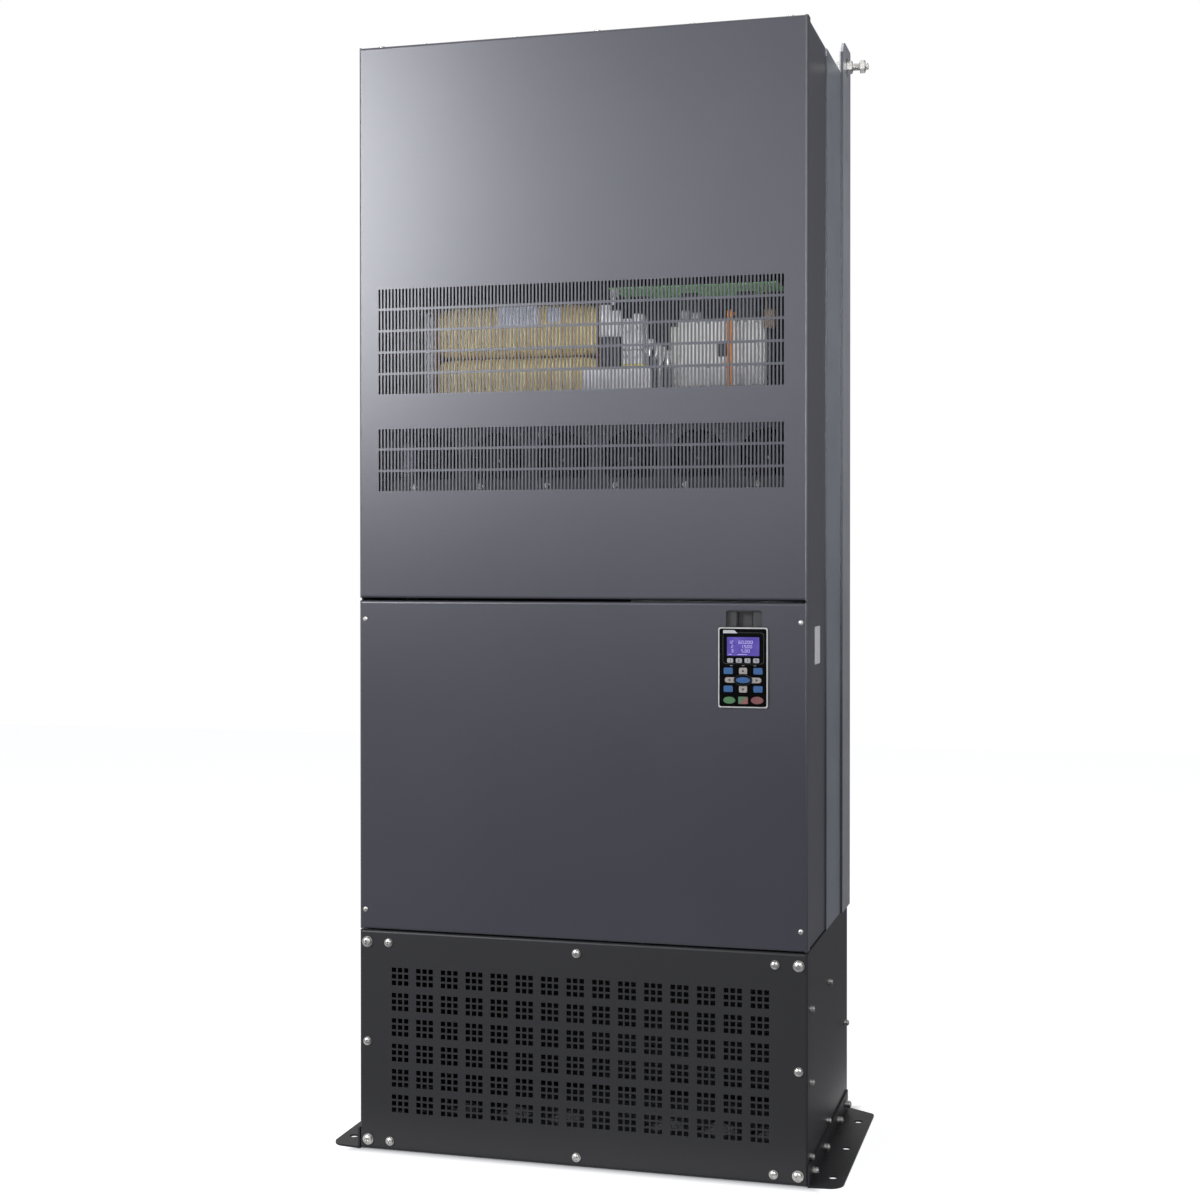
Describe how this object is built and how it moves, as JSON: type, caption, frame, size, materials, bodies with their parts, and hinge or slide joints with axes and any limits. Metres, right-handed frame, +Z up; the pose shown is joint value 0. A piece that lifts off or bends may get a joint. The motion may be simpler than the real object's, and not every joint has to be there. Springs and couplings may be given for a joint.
{
  "type": "variable frequency drive",
  "caption": "Floor-standing frequency drive with slotted covers, keypad, cooling fans and a perforated conduit box on two angle feet.",
  "frame": {"origin": "middle of the footprint on the floor", "axes": "+Z up, the front with the keypad faces -Y, +X to the right seen from the front"},
  "size_m": [0.8, 0.4109, 1.7525],
  "materials": {
    "cover_paint": "semi-gloss charcoal powder coat",
    "box_paint": "satin black powder coat",
    "galvanised": "galvanised sheet",
    "rail_zinc": "zinc-plated steel",
    "zinc_fasteners": "bright zinc-plated",
    "plain_steel": "zinc-plated sheet",
    "sink_aluminium": "extruded aluminium",
    "gland_aluminium": "mill-finish aluminium",
    "module_plastic": "moulded black plastic",
    "capacitor_can": "sleeved aluminium can",
    "busbar_copper": "tinned copper",
    "coil_tape": "varnished winding tape",
    "core_steel": "lacquered core laminations",
    "unit_cream": "moulded cream plastic",
    "board_green": "solder mask",
    "terminal_plastic": "moulded black plastic",
    "lead_orange": "silicone insulation",
    "fan_plastic": "glass-filled black plastic",
    "holder_plastic": "textured black plastic",
    "keypad_white": "moulded white plastic",
    "keypad_black": "satin black overlay",
    "display_glass": "backlit display window",
    "key_grey": "silicone key",
    "key_blue": "silicone key",
    "key_beige": "silicone key",
    "key_green": "silicone key",
    "key_two_tone": "silicone key",
    "key_red": "silicone key"
  },
  "bodies": {
    "root": {"upper_cover": "cover_paint", "lower_cover": "cover_paint", "cover_screws": "zinc_fasteners", "top_cover": "galvanised", "case_side_left": "cover_paint", "case_side_right": "cover_paint", "rear_chassis": "galvanised", "rail_left": "rail_zinc", "rail_right": "rail_zinc", "lifting_studs": "zinc_fasteners", "partition_plate": "galvanised", "box_front_panel": "box_paint", "box_side_left": "box_paint", "box_side_right": "box_paint", "box_frame": "galvanised", "gland_plate": "gland_aluminium", "box_fasteners": "zinc_fasteners", "foot_left": "box_paint", "foot_right": "box_paint", "heatsink": "sink_aluminium", "power_modules": "module_plastic", "dc_capacitors": "capacitor_can", "busbars": "busbar_copper", "choke_coils": "coil_tape", "choke_core": "core_steel", "rectifier_unit": "unit_cream", "driver_board": "board_green", "control_board": "board_green", "control_tray": "plain_steel", "terminal_block": "terminal_plastic", "supply_lead": "lead_orange", "fan_tray": "plain_steel", "fan_screws": "zinc_fasteners", "fan_housings": "fan_plastic", "keypad_holder": "holder_plastic"},
    "keypad": {"keypad_case": "keypad_white", "keypad_face": "keypad_black", "keypad_display": "display_glass"},
    "fan_rotor_1": {"fan_rotor_1": "fan_plastic"},
    "fan_rotor_2": {"fan_rotor_2": "fan_plastic"},
    "fan_rotor_3": {"fan_rotor_3": "fan_plastic"},
    "fan_rotor_4": {"fan_rotor_4": "fan_plastic"},
    "fan_rotor_5": {"fan_rotor_5": "fan_plastic"},
    "fan_rotor_6": {"fan_rotor_6": "fan_plastic"},
    "key_f1": {"key_f1": "key_grey"},
    "key_f2": {"key_f2": "key_grey"},
    "key_f3": {"key_f3": "key_grey"},
    "key_f4": {"key_f4": "key_grey"},
    "key_escape": {"key_escape": "key_blue"},
    "key_menu": {"key_menu": "key_blue"},
    "key_local": {"key_local": "key_blue"},
    "key_jog": {"key_jog": "key_blue"},
    "key_up": {"key_up": "key_beige"},
    "key_down": {"key_down": "key_beige"},
    "key_left": {"key_left": "key_beige"},
    "key_right": {"key_right": "key_beige"},
    "key_enter": {"key_enter": "key_blue"},
    "key_run": {"key_run": "key_green"},
    "key_direction": {"key_direction": "key_two_tone"},
    "key_stop": {"key_stop": "key_red"}
  },
  "joints": [
    {"name": "fan_rotor_1_spin", "type": "hinge", "parent": "root", "child": "fan_rotor_1", "pos_m": [-0.27, -0.0785, 1.068], "axis": [0, -1, 0], "continuous": true},
    {"name": "fan_rotor_2_spin", "type": "hinge", "parent": "root", "child": "fan_rotor_2", "pos_m": [-0.162, -0.0785, 1.068], "axis": [0, -1, 0], "continuous": true},
    {"name": "fan_rotor_3_spin", "type": "hinge", "parent": "root", "child": "fan_rotor_3", "pos_m": [-0.054, -0.0785, 1.068], "axis": [0, -1, 0], "continuous": true},
    {"name": "fan_rotor_4_spin", "type": "hinge", "parent": "root", "child": "fan_rotor_4", "pos_m": [0.054, -0.0785, 1.068], "axis": [0, -1, 0], "continuous": true},
    {"name": "fan_rotor_5_spin", "type": "hinge", "parent": "root", "child": "fan_rotor_5", "pos_m": [0.162, -0.0785, 1.068], "axis": [0, -1, 0], "continuous": true},
    {"name": "fan_rotor_6_spin", "type": "hinge", "parent": "root", "child": "fan_rotor_6", "pos_m": [0.27, -0.0785, 1.068], "axis": [0, -1, 0], "continuous": true},
    {"name": "keypad_pull", "type": "slide", "parent": "root", "child": "keypad", "axis": [0, -1, 0], "range_m": [0, 0.03]},
    {"name": "key_f1_press", "type": "slide", "parent": "keypad", "child": "key_f1", "axis": [0, 1, 0], "range_m": [0, 0.0008], "stiffness_N_per_m": 800, "springref_m": -0.0006},
    {"name": "key_f2_press", "type": "slide", "parent": "keypad", "child": "key_f2", "axis": [0, 1, 0], "range_m": [0, 0.0008], "stiffness_N_per_m": 800, "springref_m": -0.0006},
    {"name": "key_f3_press", "type": "slide", "parent": "keypad", "child": "key_f3", "axis": [0, 1, 0], "range_m": [0, 0.0008], "stiffness_N_per_m": 800, "springref_m": -0.0006},
    {"name": "key_f4_press", "type": "slide", "parent": "keypad", "child": "key_f4", "axis": [0, 1, 0], "range_m": [0, 0.0008], "stiffness_N_per_m": 800, "springref_m": -0.0006},
    {"name": "key_escape_press", "type": "slide", "parent": "keypad", "child": "key_escape", "axis": [0, 1, 0], "range_m": [0, 0.0008], "stiffness_N_per_m": 800, "springref_m": -0.0006},
    {"name": "key_menu_press", "type": "slide", "parent": "keypad", "child": "key_menu", "axis": [0, 1, 0], "range_m": [0, 0.0008], "stiffness_N_per_m": 800, "springref_m": -0.0006},
    {"name": "key_local_press", "type": "slide", "parent": "keypad", "child": "key_local", "axis": [0, 1, 0], "range_m": [0, 0.0008], "stiffness_N_per_m": 800, "springref_m": -0.0006},
    {"name": "key_jog_press", "type": "slide", "parent": "keypad", "child": "key_jog", "axis": [0, 1, 0], "range_m": [0, 0.0008], "stiffness_N_per_m": 800, "springref_m": -0.0006},
    {"name": "key_up_press", "type": "slide", "parent": "keypad", "child": "key_up", "axis": [0, 1, 0], "range_m": [0, 0.0008], "stiffness_N_per_m": 800, "springref_m": -0.0006},
    {"name": "key_down_press", "type": "slide", "parent": "keypad", "child": "key_down", "axis": [0, 1, 0], "range_m": [0, 0.0008], "stiffness_N_per_m": 800, "springref_m": -0.0006},
    {"name": "key_left_press", "type": "slide", "parent": "keypad", "child": "key_left", "axis": [0, 1, 0], "range_m": [0, 0.0008], "stiffness_N_per_m": 800, "springref_m": -0.0006},
    {"name": "key_right_press", "type": "slide", "parent": "keypad", "child": "key_right", "axis": [0, 1, 0], "range_m": [0, 0.0008], "stiffness_N_per_m": 800, "springref_m": -0.0006},
    {"name": "key_enter_press", "type": "slide", "parent": "keypad", "child": "key_enter", "axis": [0, 1, 0], "range_m": [0, 0.0008], "stiffness_N_per_m": 800, "springref_m": -0.0006},
    {"name": "key_run_press", "type": "slide", "parent": "keypad", "child": "key_run", "axis": [0, 1, 0], "range_m": [0, 0.0008], "stiffness_N_per_m": 800, "springref_m": -0.0006},
    {"name": "key_direction_press", "type": "slide", "parent": "keypad", "child": "key_direction", "axis": [0, 1, 0], "range_m": [0, 0.0008], "stiffness_N_per_m": 800, "springref_m": -0.0006},
    {"name": "key_stop_press", "type": "slide", "parent": "keypad", "child": "key_stop", "axis": [0, 1, 0], "range_m": [0, 0.0008], "stiffness_N_per_m": 800, "springref_m": -0.0006}
  ]
}
